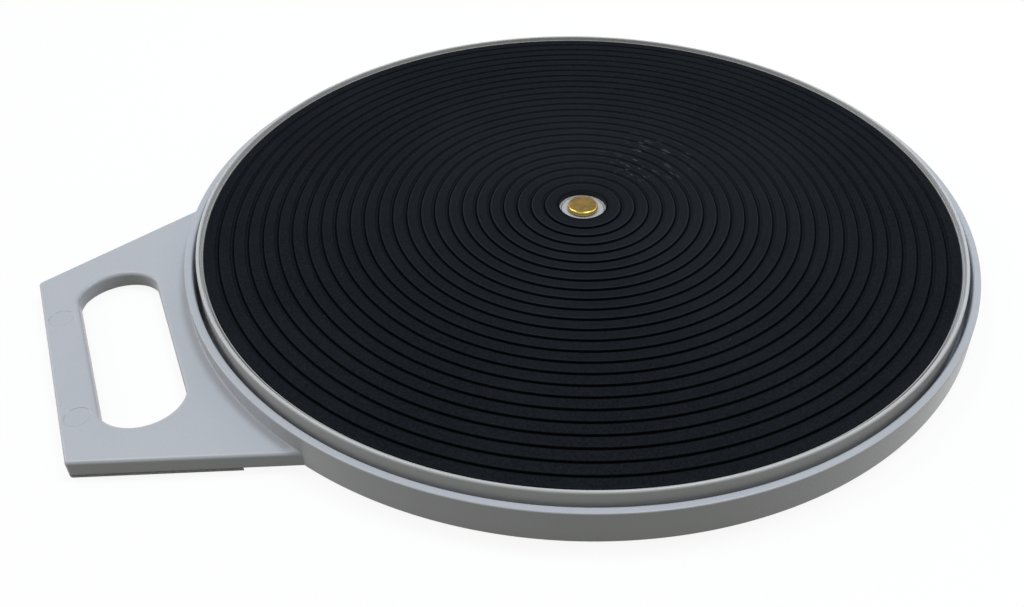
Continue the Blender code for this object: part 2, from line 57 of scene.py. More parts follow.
# %% [markdown]
# ## Measures
#
# All lengths are metres. A node's box gives its outer radius and its heights, because the spin
# axis is the Z axis. What a box can't give, such as the width of the tray's rim, is named here.

# %% Measures that the frame gives
tray_low, tray_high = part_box("base_tray")
head_low, head_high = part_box("turntable_head")
mat_low, mat_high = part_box("ribbed_mat")
pin_low, pin_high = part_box("pivot_pin")
washer_low, washer_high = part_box("head_washer")
ball_low, ball_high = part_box("race_ball_01")
base_pad_low, base_pad_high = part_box("base_grip_pad")
handle_pad_low, handle_pad_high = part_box("handle_grip_pad")

TRAY_RADIUS = tray_high.x
HANDLE_REACH = -tray_low.x
TRAY_BOTTOM = tray_low.z
RIM_TOP = tray_high.z
SKIRT_RADIUS = head_high.x
SKIRT_BOTTOM = head_low.z
LIP_TOP = head_high.z
HEAD_FLOOR = washer_high.z
MAT_RADIUS = mat_high.x
MAT_TOP = mat_high.z
MAT_BOTTOM = mat_low.z
BALL_RADIUS = (ball_high.z - ball_low.z) / 2
BALL_HEIGHT = (ball_high.z + ball_low.z) / 2
RACE_RADIUS = (ball_high.x + ball_low.x) / 2
print(f"tray {2000 * TRAY_RADIUS:.1f} mm across, mat {2000 * MAT_RADIUS:.1f} mm across")

# %% Measures of the tray and the ball track
RIM_WIDTH = 0.0035
RIM_DRAFT = 0.0004  # how far each face of the rim leans, so that its foot is wider
TRAY_FLOOR = 0.003
BOSS_RADIUS = 0.015
BOSS_TOP = 0.0085
PIN_HOLE = 0.0043  # radius of each hole that the pin passes through
WELL_RADIUS = 0.011
WELL_DEPTH = 0.004
TRACK_HALF_WIDTH = 0.0062
TRACK_GAP = 0.0028  # between the lower and the upper track
GROOVE_HALF_WIDTH = 0.0032
GROOVE_BALL_GAP = 0.0002  # left under a ball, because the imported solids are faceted
print(f"rim {1000 * RIM_WIDTH:.1f} mm wide, ball groove {2000 * GROOVE_HALF_WIDTH:.1f} mm wide")

# %% [markdown]
# ## Turned surfaces
#
# Nearly everything here is round, so most pieces are a profile turned about the axis. Real
# moulded corners are never sharp: the small rounds on them catch the light as thin bright lines.
# So a profile is written as a few corners, each with its own radius, and one function turns the
# corners into arcs. It works on whole arrays: all the corners of a profile at once.

# %% Round the corners of an outline
ROUND_STEPS = 5
FLAT_MARGIN = 0.4  # from an arc to the extra point beside it, as a share of the arc's radius


def rounded(corners, steps=ROUND_STEPS):
    """Closed outline with each corner (x, y, radius) replaced by an arc that touches both its sides.

    With a and b the unit directions from a corner to its neighbours, and w the angle between
    them, the arc's centre is corner + (a + b) / |a + b| * radius / sin(w / 2), and it touches the
    sides at radius / tan(w / 2) from the corner. A point a little outside each arc keeps the
    shading of the flat faces flat.
    """
    corners = np.array(corners, float)
    place, radius = corners[:, :2], corners[:, 2]
    to_last = np.roll(place, 1, axis=0) - place
    to_next = np.roll(place, -1, axis=0) - place
    side_last = np.linalg.norm(to_last, axis=1)
    side_next = np.linalg.norm(to_next, axis=1)
    a = to_last / side_last[:, None]
    b = to_next / side_next[:, None]
    half = np.arccos(np.clip((a * b).sum(1), -1, 1)) / 2
    reach = radius / np.tan(half)
    middle = (a + b) / np.maximum(np.linalg.norm(a + b, axis=1), 1e-9)[:, None]
    centre = place + middle * (radius / np.sin(half))[:, None]
    start = place + a * reach[:, None] - centre
    end = place + b * reach[:, None] - centre
    sweep = np.maximum(math.pi - 2 * half, 1e-9)[:, None]
    share = np.linspace(0, 1, steps + 1)[None, :]
    weight_start = np.sin((1 - share) * sweep) / np.sin(sweep)
    weight_end = np.sin(share * sweep) / np.sin(sweep)
    arcs = centre[:, None] + weight_start[..., None] * start[:, None]
    arcs = arcs + weight_end[..., None] * end[:, None]
    extra = FLAT_MARGIN * radius
    before = (place + a * (reach + extra)[:, None])[:, None]
    after = (place + b * (reach + extra)[:, None])[:, None]
    points = np.concatenate([before, arcs, after], axis=1)
    taken = reach + extra
    keep = np.ones(points.shape[:2], bool)
    keep[radius == 0, 1:] = False
    keep[radius > 0, 0] = (taken + np.roll(taken, 1) < side_last)[radius > 0]
    keep[radius > 0, -1] = (taken + np.roll(taken, -1) < side_next)[radius > 0]
    return points[keep]


unit_square = [(1, 0, 0.1), (2, 0, 0.1), (2, 1, 0.1), (1, 1, 0.1)]
print("a square with round corners has", len(rounded(unit_square)), "points")

# %% Turn a profile about the axis
TURNS = 360
FINE_TURNS = 480  # for the two largest mouldings
SMALL_TURNS = 128  # for the pin and its washer


def turned(profile, turns=TURNS):
    """Points and faces of the surface P(u, v) = (r(v) cos u, r(v) sin u, z(v)), u a full turn.

    A profile that starts and ends on the axis closes in two poles. Any other is joined end to
    start, and closes as a ring.
    """
    radius, height = profile.T
    poles = radius[0] < 1e-9 and radius[-1] < 1e-9
    rows = slice(1, -1) if poles else slice(None)
    angle = np.linspace(0, math.tau, turns, endpoint=False)
    ring = radius[rows][:, None]
    heights = np.repeat(height[rows][:, None], turns, axis=1)
    grid = np.stack([ring * np.cos(angle), ring * np.sin(angle), heights], axis=-1)
    count = len(grid)
    points = grid.reshape(-1, 3)
    index = np.arange(count * turns).reshape(count, turns)
    following = np.roll(index, -1, axis=1)
    if poles:
        lower, upper = slice(None, -1), slice(1, None)
    else:
        lower, upper = slice(None), np.roll(np.arange(count), -1)
    quads = np.stack([index[lower], following[lower], following[upper], index[upper]], axis=-1)
    faces = quads.reshape(-1, 4).tolist()
    if poles:
        ends = np.array([[0, 0, height[0]], [0, 0, height[-1]]])
        first, last = len(points), len(points) + 1
        points = np.concatenate([points, ends])
        faces += np.column_stack([np.full(turns, first), following[0], index[0]]).tolist()
        faces += np.column_stack([np.full(turns, last), index[-1], following[-1]]).tolist()
    return points, faces


print("turned into a ring it has", len(turned(rounded(unit_square))[1]), "faces")

# %% [markdown]
# A piece's object stays at the origin and its place is in its mesh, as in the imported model. Its
# faces have to point outwards, which its signed volume tells: it is negative on a shape that is
# inside out. Every piece rides on a body, so that it moves when the joint does.

# %% Put a surface into the scene as a piece
SHARP_ANGLE = math.radians(38)


def signed_volume(mesh):
    """Sum over the triangles of a . (b x c) / 6, with a, b and c their corners."""
    mesh.calc_loop_triangles()
    points = np.empty(len(mesh.vertices) * 3)
    mesh.vertices.foreach_get("co", points)
    corners = np.empty(len(mesh.loop_triangles) * 3, np.int32)
    mesh.loop_triangles.foreach_get("vertices", corners)
    a, b, c = points.reshape(-1, 3)[corners.reshape(-1, 3)].transpose(1, 0, 2)
    return float((a * np.cross(b, c)).sum() / 6)


def make_piece(name, surface, finish, body, slot, *stands_for):
    """Adds a surface as an object with its finish and body, and hides the nodes it stands for.

    slot is not used.
    """
    points, faces = surface
    mesh = bpy.data.meshes.new(name)
    mesh.from_pydata(np.asarray(points).tolist(), [], faces)
    if signed_volume(mesh) < 0:
        mesh.flip_normals()
    mesh.shade_smooth()
    mesh.set_sharp_from_angle(angle=SHARP_ANGLE)
    mesh.materials.append(finish)
    piece = bpy.data.objects.new(name, mesh)
    bpy.context.scene.collection.objects.link(piece)
    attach(piece, body)
    if stands_for:
        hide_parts(*stands_for)
    print(f"{name}: {len(mesh.loop_triangles)} triangles, {1e6 * signed_volume(mesh):.2f} cm3")


# %% [markdown]
# ## Shader maths
#
# A finish is a small graph of nodes. Written node by node it hides its own idea, so one class
# wraps a socket and lets Python's operators add the Math nodes: 1 - mask * 0.3 reads as what it
# does. Every other node comes from one method, which takes its kind, its settings and its inputs.

# %% A socket that can be added and multiplied
class Socket:
    """Output of a shader node. Arithmetic on it adds Math nodes to its graph."""

    def __init__(self, graph, output):
        self.graph = graph
        self.output = output

    def math(self, operation, *values):
        return self.graph.node("ShaderNodeMath", {"operation": operation}, values)

    def __add__(self, other):
        return self.math("ADD", self, other)

    def __sub__(self, other):
        return self.math("SUBTRACT", self, other)

    def __rsub__(self, other):
        return self.math("SUBTRACT", other, self)

    def __mul__(self, other):
        return self.math("MULTIPLY", self, other)

    __radd__ = __add__
    __rmul__ = __mul__

    def sine(self):
        return self.math("SINE", self)

    def fraction(self):
        return self.math("FRACT", self)

    def maximum(self, other):
        return self.math("MAXIMUM", self, other)

    def sibling(self, name):
        """Another output of the same node."""
        return Socket(self.graph, self.output.node.outputs[name])


# %% A graph that grows node by node
class Graph:
    """A node tree whose new nodes all come from one method."""

    def __init__(self, tree):
        self.tree = tree

    def node(self, kind, settings, inputs, output=0):
        """Adds a node: its settings first, then each input's value or link; returns one output."""
        made = self.tree.nodes.new(kind)
        for setting, value in settings.items():
            setattr(made, setting, value)
        pairs = inputs.items() if isinstance(inputs, dict) else enumerate(inputs)
        for socket, value in pairs:
            if isinstance(value, Socket):
                self.tree.links.new(value.output, made.inputs[socket])
            else:
                made.inputs[socket].default_value = value
        return Socket(self, made.outputs[output]) if made.outputs else None


# %% A finish and its patterns
# The colour sockets of a Mix node, which has others for numbers and vectors.
MIX_SHARE, MIX_FIRST, MIX_SECOND, MIX_RESULT = 0, 6, 7, 2


class Finish(Graph):
    """A Principled material, with helpers for the patterns that the turntable's finishes share."""

    def __init__(self, name, **constants):
        self.material = bpy.data.materials.new(name)
        self.material.use_nodes = True
        super().__init__(self.material.node_tree)
        self.shader = self.tree.nodes["Principled BSDF"]
        for socket, value in constants.items():
            self.shader.inputs[socket.replace("_", " ")].default_value = value
        self.point = self.node("ShaderNodeTexCoord", {}, {}, "Object")

    def feed(self, socket, value):
        """Links a value to an input of the Principled shader."""
        self.tree.links.new(value.output, self.shader.inputs[socket])

    def noise(self, scale, detail=2.0, roughness=0.5, where=None):
        """Cloudy values about 0.5; scale counts the clouds to the metre."""
        values = {"Scale": scale, "Detail": detail, "Roughness": roughness}
        return self.node("ShaderNodeTexNoise", {}, {"Vector": where or self.point, **values})

    def mix(self, share, first, second):
        """Colour between two colours."""
        inputs = {MIX_SHARE: share, MIX_FIRST: first, MIX_SECOND: second}
        return self.node("ShaderNodeMix", {"data_type": "RGBA"}, inputs, MIX_RESULT)

    def step(self, value, low, high):
        """0 below low, 1 above high, and a smooth rise between them."""
        inputs = {"Value": value, "From Min": low, "From Max": high}
        return self.node("ShaderNodeMapRange", {"interpolation_type": "SMOOTHSTEP"}, inputs)

    def parts(self):
        """The X, Y and Z of the point that is shaded."""
        split = self.node("ShaderNodeSeparateXYZ", {}, [self.point])
        return [split.sibling(axis) for axis in "XYZ"]

    def axis_distance(self):
        """Distance of the point from the spin axis."""
        flat = self.node("ShaderNodeVectorMath", {"operation": "MULTIPLY"}, [self.point, (1, 1, 0)])
        return self.node("ShaderNodeVectorMath", {"operation": "LENGTH"}, [flat], "Value")

    def distance_to(self, place):
        """Distance of the point from a fixed place."""
        inputs = [self.point, place]
        return self.node("ShaderNodeVectorMath", {"operation": "DISTANCE"}, inputs, "Value")

    def cells(self, scale):
        """Distance from the middle of the nearest cell; scale counts the cells to the metre."""
        inputs = {"Vector": self.point, "Scale": scale}
        return self.node("ShaderNodeTexVoronoi", {}, inputs, "Distance")

    def rings(self, pitch):
        """Waves between -1 and 1 that run in rings round the spin axis."""
        return (self.axis_distance() * (math.tau / pitch)).sine()

    def bump(self, height, distance, under=None):
        """Normal of a surface whose height is value * distance metres."""
        inputs = {"Height": height, "Distance": distance}
        if under:
            inputs["Normal"] = under
        return self.node("ShaderNodeBump", {}, inputs)


def grey(value, tint=(1.0, 1.0, 1.0)):
    """Linear colour of one brightness and a slight tint."""
    return (value * tint[0], value * tint[1], value * tint[2], 1.0)


# %% [markdown]
# ## Grey plastic
#
# The tray, its handle and the head are pale grey moulded plastic with a satin face; the head's is a
# little lighter. A moulded face is never quite flat or even: it has a fine spark-worn grain from
# the mould, slow waves from shrinking, and a slight cloudiness. Each is a noise at its own scale.
# One function makes all three, with marks that get painted shade inside, or a darker, browner ring,
# where a piece has them.

# %% The grey plastic
PLASTIC_GREY = (0.478, 0.497, 0.541)
PLASTIC_SHADE = (0.45, 0.468, 0.506)
PLASTIC_GLOSS = 0.35
CLOUD_SCALE = 9.0
GRAIN_SCALE = 2600.0
GRAIN_HEIGHT = 0.000012
WAVE_SCALE = 16.0
WAVE_HEIGHT = 0.0004
DARK_RING_COLOUR = (0.2, 0.19, 0.14)
DARK_RING_STRENGTH = 0.55
MARK_DEPTH = 0.0004
MARK_EDGE = 0.0005  # half the width of a mark's slope
# Share of painted shade inside each ejector mark.
MARK_PAINTED_SHADE = 0.3


def grey_plastic(name, bright, dim, marks=(), dark_ring=None):
    """Satin moulded plastic of two tones.

    marks are (centre, radius) of shallow round ejector marks on a face; each is a dent in the bump,
    and painted shade darkens its inside. The last argument is the inner and the outer radius of a
    ring that is coloured darker and browner.
    """
    finish = Finish(name, Specular_IOR_Level=PLASTIC_GLOSS)
    clouds = finish.noise(CLOUD_SCALE, detail=3.0)
    grain = finish.noise(GRAIN_SCALE, detail=2.0)
    waves = finish.noise(WAVE_SCALE, detail=1.0)
    tone = finish.step(clouds, 0.3, 0.7)
    colour = finish.mix(tone, (*dim, 1), (*bright, 1))
    # A darker, browner ring, where one is given.
    if dark_ring:
        inner, outer = dark_ring
        reach = finish.axis_distance()
        ring = finish.step(reach, inner - 0.0002, inner)
        ring = ring * (1 - finish.step(reach, outer, outer + 0.0003))
        colour = finish.mix(DARK_RING_STRENGTH * ring, colour, (*DARK_RING_COLOUR, 1))
    finish.feed("Roughness", 0.2 + 0.08 * clouds + 0.06 * grain)
    normal = finish.bump(waves, WAVE_HEIGHT)
    normal = finish.bump(grain, GRAIN_HEIGHT, normal)
    for centre, radius in marks:
        away = finish.distance_to(centre)
        inside = 1 - finish.step(away, radius - MARK_EDGE, radius + MARK_EDGE)
        normal = finish.bump(inside, -MARK_DEPTH, normal)
        # Painted shade: each mark's inside is coloured darker, like the shade in a dimple.
        colour = finish.mix(MARK_PAINTED_SHADE * inside, colour, (*dim, 1))
    finish.feed("Base Color", colour)
    finish.feed("Normal", normal)
    return finish.material


tray_plastic = grey_plastic("tray_plastic", PLASTIC_GREY, PLASTIC_SHADE)
print("grey plastic:", PLASTIC_GREY)

# %% [markdown]
# ## Tray
#
# The tray is one moulding: a flat floor with an upright rim, a raised track that the balls run
# on, and a boss for the pin. All of that is round, so one closed profile makes it. The handle
# belongs to the same moulding, but it isn't round, so it gets a surface of its own below.

# %% Profile of the ball track
TRACK_STEPS = 10


def track(side):
    """Groove that a ball sits in, as (r, z, 0) corners from outside to inside: side -1 is below the
    balls, +1 above. The arc passes GROOVE_BALL_GAP past the ball, and opens at the track's face."""
    face = BALL_HEIGHT + side * TRACK_GAP / 2
    bottom = BALL_HEIGHT + side * (BALL_RADIUS + GROOVE_BALL_GAP)
    depth = abs(bottom - face)
    radius = (GROOVE_HALF_WIDTH**2 + depth**2) / (2 * depth)
    half_angle = math.asin(GROOVE_HALF_WIDTH / radius)
    angle = np.linspace(half_angle, -half_angle, TRACK_STEPS)
    r = RACE_RADIUS + radius * np.sin(angle)
    z = bottom + side * radius * (np.cos(angle) - 1)
    return np.stack([r, z, 0 * r], axis=1).tolist()


TRACK_OUTER = RACE_RADIUS + TRACK_HALF_WIDTH
TRACK_INNER = RACE_RADIUS - TRACK_HALF_WIDTH
print(f"ball track from {1000 * TRACK_INNER:.1f} to {1000 * TRACK_OUTER:.1f} mm from the axis")

# %% The tray's profile and its surface
floor_top = TRAY_BOTTOM + TRAY_FLOOR
rim_outer = TRAY_RADIUS - RIM_DRAFT
rim_inner = rim_outer - RIM_WIDTH
lower_track_top = BALL_HEIGHT - TRACK_GAP / 2
tray_corners = [
    (PIN_HOLE, BOSS_TOP, 0.0003),
    (PIN_HOLE, TRAY_BOTTOM + WELL_DEPTH, 0),
    (WELL_RADIUS, TRAY_BOTTOM + WELL_DEPTH, 0.0003),
    (WELL_RADIUS, TRAY_BOTTOM, 0.0003),
    (TRAY_RADIUS, TRAY_BOTTOM, 0.0004),
    (rim_outer, RIM_TOP, 0.0006),
    (rim_inner, RIM_TOP, 0.001),
    (rim_inner - RIM_DRAFT, floor_top, 0.003),
    (TRACK_OUTER, floor_top, 0.0008),
    (TRACK_OUTER, lower_track_top, 0.0004),
    *track(-1),
    (TRACK_INNER, lower_track_top, 0.0004),
    (TRACK_INNER, floor_top, 0.0008),
    (BOSS_RADIUS, floor_top, 0.0008),
    (BOSS_RADIUS, BOSS_TOP, 0.0004),
]
tray_surface = turned(rounded(tray_corners), FINE_TURNS)
make_piece("tray_shell", tray_surface, tray_plastic, "tray", "grey_plastic", "base_tray")

# %% [markdown]
# ## Handle
#
# The handle is a flat plate that flares towards the tray, with a slot for four fingers. Its edges
# are rounded, a little more in the slot than outside. A surface with a hole is awkward as a filled
# outline, but easy as a closed band: one parameter runs round the slot, and the other goes up the
# slot's wall, across the top to the outer edge, down, and back below. Both outlines have the same
# number of points, so each point of the band lies between a point of one and a point of the other.

# %% Measures of the handle
HANDLE_END_WIDTH = 0.121
HANDLE_FLARE = math.radians(21.3)
HANDLE_THICKNESS = 0.0069
HANDLE_CORNER = 0.002
HANDLE_ROUND = 0.0015
SLOT_LENGTH = 0.1036
SLOT_WIDTH = 0.0338
SLOT_END_EASE = 0.0009
SLOT_ROUND = 0.0018
GRIP_WIDTH = 0.0151
ROOT_RADIUS = 0.1872  # the plate ends at this radius, inside the rim's wall
WALL_FILLET = 0.0003  # round between the plate and the rim's wall
SLOT_X = GRIP_WIDTH + SLOT_WIDTH / 2 - HANDLE_REACH
handle_top = TRAY_BOTTOM + HANDLE_THICKNESS
print(f"hand slot {1000 * SLOT_LENGTH:.1f} x {1000 * SLOT_WIDTH:.1f} mm")

# %% The two outlines of the handle
BAR_POINTS, CORNER_POINTS, SIDE_POINTS, ROOT_POINTS = 10, 10, 30, 40
SMALLEST_CORNER = 0.0004


def arc(centre, radius, start, end, count):
    """Points on a circle from one angle to another, in degrees, with the last one left out."""
    angle = np.radians(np.linspace(start, end, count, endpoint=False))
    return np.stack([centre[0] + radius * np.cos(angle), centre[1] + radius * np.sin(angle)], axis=1)


def line(start, end, count):
    """Points on a straight line, with the last one left out."""
    share = np.linspace(0, 1, count, endpoint=False)[:, None]
    return (1 - share) * np.array(start) + share * np.array(end)


def both_halves(half):
    """A half outline from (x, 0) to (x', 0), y above 0, closed by its mirror image."""
    return np.concatenate([half, (half * (1, -1))[-2:0:-1]])


def rim_outline(inset, straight_root=None):
    """Outer edge of the plate, moved inwards by inset; its root is an arc about the spin axis, or
    a straight line at the given x."""
    flare = math.degrees(HANDLE_FLARE)
    radius = max(HANDLE_CORNER - inset, SMALLEST_CORNER)
    deep = inset + radius
    drop = deep * (1 - math.sin(HANDLE_FLARE)) / math.cos(HANDLE_FLARE)
    centre = np.array([deep - HANDLE_REACH, HANDLE_END_WIDTH / 2 - drop])
    corner = arc(centre, radius, 180, 90 + flare, CORNER_POINTS)
    along = np.array([math.cos(HANDLE_FLARE), math.sin(HANDLE_FLARE)])
    start = centre + radius * np.array([-along[1], along[0]])
    if straight_root is None:
        root_radius = ROOT_RADIUS + inset
        run = start @ along
        end = start + along * (-run - math.sqrt(run * run - start @ start + root_radius**2))
        turn = math.degrees(math.atan2(end[1], end[0]))
        root = arc((0, 0), root_radius, turn, 180, ROOT_POINTS)
        last = [(-root_radius, 0)]
    else:
        end_x = straight_root - inset
        end = start + along * (end_x - start[0]) / along[0]
        root = line(end, (end_x, 0), ROOT_POINTS)
        last = [(end_x, 0)]
    bar = line((inset - HANDLE_REACH, 0), corner[0], BAR_POINTS)
    return both_halves(np.concatenate([bar, corner, line(start, end, SIDE_POINTS), root, last]))


def slot_outline(outset):
    """Edge of the hand slot, moved outwards by outset: straight sides and slightly flat round ends."""
    half_width = SLOT_WIDTH / 2 + outset
    radius = SLOT_WIDTH / 2 + SLOT_END_EASE + outset
    centre = (SLOT_X, SLOT_LENGTH / 2 - SLOT_WIDTH / 2 - SLOT_END_EASE)
    half_angle = math.degrees(math.asin(half_width / radius))
    end = arc(centre, radius, 90 + half_angle, 90 - half_angle, CORNER_POINTS + SIDE_POINTS)
    outer_side = line((SLOT_X - half_width, 0), end[0], BAR_POINTS)
    corner = (SLOT_X + half_width, end[0][1])
    inner_side = line(corner, (corner[0], 0), ROOT_POINTS)
    return both_halves(np.concatenate([outer_side, end, inner_side, [(corner[0], 0)]]))


print("points round the handle and round its slot:", len(rim_outline(0)), len(slot_outline(0)))

# %% The band between the two outlines
def band(rows, straight_root=None):
    """Closed surface P(u, v) = (1 - s(v)) slot(u) + s(v) rim(u), at height z(v).

    rows holds one (s, outset of the slot's edge, inset of the rim's edge, z) for each v.
    """
    loops = []
    for share, outset, inset, height in rows:
        flat = (1 - share) * slot_outline(outset) + share * rim_outline(inset, straight_root)
        loops.append(np.column_stack([flat, np.full(len(flat), height)]))
    grid = np.stack(loops)
    count, around = grid.shape[:2]
    index = np.arange(count * around).reshape(count, around)
    across = np.roll(index, -1, axis=0)
    quads = np.stack([index, np.roll(index, -1, axis=1), np.roll(across, -1, axis=1), across], axis=-1)
    return grid.reshape(-1, 3), quads.reshape(-1, 4).tolist()


def quarter(radius, steps=ROUND_STEPS):
    """(inset, drop) along a quarter round, from the flat top to the upright side."""
    angle = np.linspace(0, math.pi / 2, steps + 1)
    return np.column_stack([radius * (1 - np.sin(angle)), radius * (1 - np.cos(angle))])


# %% The rows of the handle
ARRIS = 0.0003  # small round on the lower edges
TOP_START = 1.4 * SLOT_ROUND  # from the slot's edge to the row that keeps the flat top flat
TOP_END = 1.2 * HANDLE_ROUND  # and the same at the outer edge
WALL_INSETS = np.linspace(0.005, 0.0025, 11)  # rows where the plate meets the rim's wall
EDGE_STEPS = 7
slot_rows = [(0, 0, 0, TRAY_BOTTOM + ARRIS)]
slot_rows += [(0, inset, 0, handle_top - drop) for inset, drop in quarter(SLOT_ROUND)[::-1]]
slot_rows.append((0, TOP_START, 0, handle_top))
field_rows = [(share, TOP_START, WALL_INSETS[0], handle_top) for share in (0.2, 0.4, 0.6, 0.8)]
wall_rows = [(1, 0, inset, handle_top) for inset in WALL_INSETS]
edge_rows = [(1, 0, TOP_END, handle_top)]
edge_rows += [(1, 0, inset, handle_top - drop) for inset, drop in quarter(HANDLE_ROUND, EDGE_STEPS)]
under_rows = [(1, 0, 0, TRAY_BOTTOM + ARRIS), (1, 0, ARRIS, TRAY_BOTTOM)]
under_rows += [(share, ARRIS, ARRIS, TRAY_BOTTOM) for share in (0.66, 0.33, 0)]
handle_points, handle_faces = band(slot_rows + field_rows + wall_rows + edge_rows + under_rows)
print(len(handle_points), "points in the handle")

# %% [markdown]
# A tiny fillet joins the plate to the rim's wall: it lifts the points next to the wall. The pins
# that push the moulding out of its mould leave two round marks on the handle's bar. They are too
# shallow for a shape, so the finish has them: a shallow dent in the bump, and painted shade inside.

# %% The fillet at the wall, the ejector marks and the handle
wall_radius = TRAY_RADIUS - RIM_DRAFT * (handle_top - TRAY_BOTTOM) / (RIM_TOP - TRAY_BOTTOM)
outside_wall = np.hypot(handle_points[:, 0], handle_points[:, 1]) - wall_radius
missing = np.clip(WALL_FILLET - outside_wall, 0, WALL_FILLET)
lift = WALL_FILLET - np.sqrt(WALL_FILLET**2 - missing**2)
on_top = handle_points[:, 2] > handle_top - 1e-6
handle_points[:, 2] += np.where(on_top, lift, 0)

MARK_X = 0.0072 - HANDLE_REACH
MARKS_Y = (-0.0367, 0.0293)
MARK_RADIUS = 0.0052
marks = [((MARK_X, mark_y, handle_top), MARK_RADIUS) for mark_y in MARKS_Y]
handle_plastic = grey_plastic("handle_plastic", PLASTIC_GREY, PLASTIC_SHADE, marks)
handle_surface = (handle_points, handle_faces)
make_piece("carry_handle", handle_surface, handle_plastic, "tray", "grey_plastic", "base_tray")

# %% [markdown]
# ## Head
#
# The head is a thin plate with a raised, rounded lip that keeps the mat in place. Between lip and
# mat there are a narrow channel and a thin rib. The rib is coloured darker and browner than the
# lip. Below the plate are the skirt, the hub and the upper ball track. It is all round,
# so it is one turned profile again. It turns freely in the tray's rim, with a dark gap all round.

# %% The head's profile and its surface
HEAD_GREY = (0.53, 0.538, 0.552)
HEAD_SHADE = (0.498, 0.505, 0.518)
HEAD_PLATE = 0.003
LIP_WIDTH = 0.0016
CHANNEL_WIDTH = 0.0008
CHANNEL_DEPTH = 0.0009
RIB_WIDTH = 0.0006
SKIRT_WALL = 0.0022
SKIRT_DRAFT = 0.0005
HUB_RADIUS = 0.0115
HUB_BOTTOM = 0.0101
HUB_HOLE = 0.0068
WASHER_GAP = 0.0003
recess_radius = washer_high.x + WASHER_GAP
recess_floor = washer_low.z - WASHER_GAP
plate_bottom = HEAD_FLOOR - HEAD_PLATE
lip_outer = SKIRT_RADIUS - SKIRT_DRAFT
lip_inner = lip_outer - LIP_WIDTH
rib_outer = lip_inner - CHANNEL_WIDTH
rib_inner = rib_outer - RIB_WIDTH
upper_track_bottom = BALL_HEIGHT + TRACK_GAP / 2
head_corners = [
    (HUB_HOLE, HUB_BOTTOM, 0),
    (HUB_HOLE, recess_floor, 0),
    (recess_radius, recess_floor, 0),
    (recess_radius, HEAD_FLOOR, 0.0002),
    (rib_inner, HEAD_FLOOR, 0),
    (rib_inner, MAT_TOP, 0.0002),
    (rib_outer, MAT_TOP, 0.0002),
    (rib_outer, MAT_TOP - CHANNEL_DEPTH, 0.0001),
    (lip_inner, MAT_TOP - CHANNEL_DEPTH, 0.0001),
    (lip_inner, LIP_TOP, 0.0006),
    (lip_outer, LIP_TOP, 0.0009),
    (SKIRT_RADIUS, SKIRT_BOTTOM, 0.0004),
    (SKIRT_RADIUS - SKIRT_WALL, SKIRT_BOTTOM, 0.0004),
    (SKIRT_RADIUS - SKIRT_WALL, plate_bottom, 0.0008),
    (TRACK_OUTER, plate_bottom, 0.0008),
    (TRACK_OUTER, upper_track_bottom, 0.0004),
    *track(1),
    (TRACK_INNER, upper_track_bottom, 0.0004),
    (TRACK_INNER, plate_bottom, 0.0008),
    (HUB_RADIUS, plate_bottom, 0.0008),
    (HUB_RADIUS, HUB_BOTTOM, 0.0004),
]
# The rib is coloured darker and browner than the lip.
head_plastic = grey_plastic("head_plastic", HEAD_GREY, HEAD_SHADE, dark_ring=(rib_inner, rib_outer))
head_surface = turned(rounded(head_corners), FINE_TURNS)
make_piece("turning_head", head_surface, head_plastic, "turntable", "grey_plastic", "turntable_head")

# %% [markdown]
# ## Ribs
#
# Eight ribs stiffen the tray's floor, and eight more the head's plate. A rib is a straight bar with
# a slight lean on its sides, so that it comes out of its mould. All the ribs of a part are one
# piece: one section is carried along each span of radius, and the result is turned eight times.

# %% The ribs
RIB_COUNT = 8
RIB_THICKNESS = 0.0018
RIB_DRAFT = 0.0001
RIB_ROUND = 0.0004
RIB_OVERLAP = 0.0003  # how far a rib reaches into its neighbours
TRAY_RIB_RISE = 0.002
HEAD_RIB_DROP = 0.0025


def radial_ribs(spans, root, crest):
    """Closed bars P(u, v) = turned(r(v), across(u), height(u)), r from inner to outer radius."""
    half = RIB_THICKNESS / 2
    corners = [(-half, root, 0), (half, root, 0)]
    corners += [(half - RIB_DRAFT, crest, RIB_ROUND), (RIB_DRAFT - half, crest, RIB_ROUND)]
    across, height = rounded(corners, steps=3).T
    radius = np.array(spans).reshape(-1, 2, 1)
    turn = math.tau * (np.arange(RIB_COUNT) + 0.5).reshape(-1, 1, 1, 1) / RIB_COUNT
    x = radius * np.cos(turn) - across * np.sin(turn)
    y = radius * np.sin(turn) + across * np.cos(turn)
    grid = np.stack([x, y, np.broadcast_to(height, x.shape)], axis=-1)
    count = len(across)
    index = np.arange(grid.size // 3).reshape(-1, 2, count)
    following = np.roll(index, -1, axis=2)
    sides = np.stack([index[:, 0], following[:, 0], following[:, 1], index[:, 1]], axis=-1)
    faces = sides.reshape(-1, 4).tolist() + index[:, 0, ::-1].tolist() + index[:, 1].tolist()
    return grid.reshape(-1, 3), faces


tray_spans = [
    (BOSS_RADIUS - RIB_OVERLAP, TRACK_INNER + RIB_OVERLAP),
    (TRACK_OUTER - RIB_OVERLAP, rim_inner + RIB_OVERLAP),
]
tray_rib_surface = radial_ribs(tray_spans, floor_top - RIB_OVERLAP, floor_top + TRAY_RIB_RISE)
make_piece("tray_ribs", tray_rib_surface, tray_plastic, "tray", "grey_plastic")
head_spans = [
    (HUB_RADIUS - RIB_OVERLAP, TRACK_INNER + RIB_OVERLAP),
    (TRACK_OUTER - RIB_OVERLAP, SKIRT_RADIUS - SKIRT_WALL + RIB_OVERLAP),
]
head_rib_surface = radial_ribs(head_spans, plate_bottom + RIB_OVERLAP, plate_bottom - HEAD_RIB_DROP)
make_piece("head_ribs", head_rib_surface, head_plastic, "turntable", "grey_plastic")

